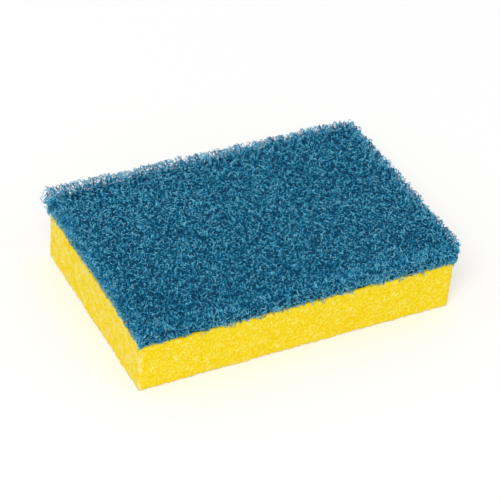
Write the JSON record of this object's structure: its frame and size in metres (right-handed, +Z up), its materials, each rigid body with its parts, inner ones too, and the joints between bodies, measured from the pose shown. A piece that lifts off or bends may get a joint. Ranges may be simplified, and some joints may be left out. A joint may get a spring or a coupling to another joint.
{
  "type": "cleaning sponge",
  "caption": "Rectangular two-layer cleaning sponge: a thick block of soft yellow foam with a blue scouring web bonded flat on its upper face.",
  "frame": {"origin": "centre of the foam's flat underside, on the surface that the sponge lies on", "axes": "+X along the long side to the right, +Y across to the back, +Z up through the foam to the scouring web"},
  "size_m": [0.1432, 0.0952, 0.0316],
  "materials": {
    "yellow_foam": "matt, fine open-cell foam with cut faces",
    "blue_web": "coarse nonwoven web of curled, resin-bonded fibres"
  },
  "bodies": {
    "root": {"foam_block": "yellow_foam", "scouring_pad": "blue_web"}
  },
  "joints": []
}
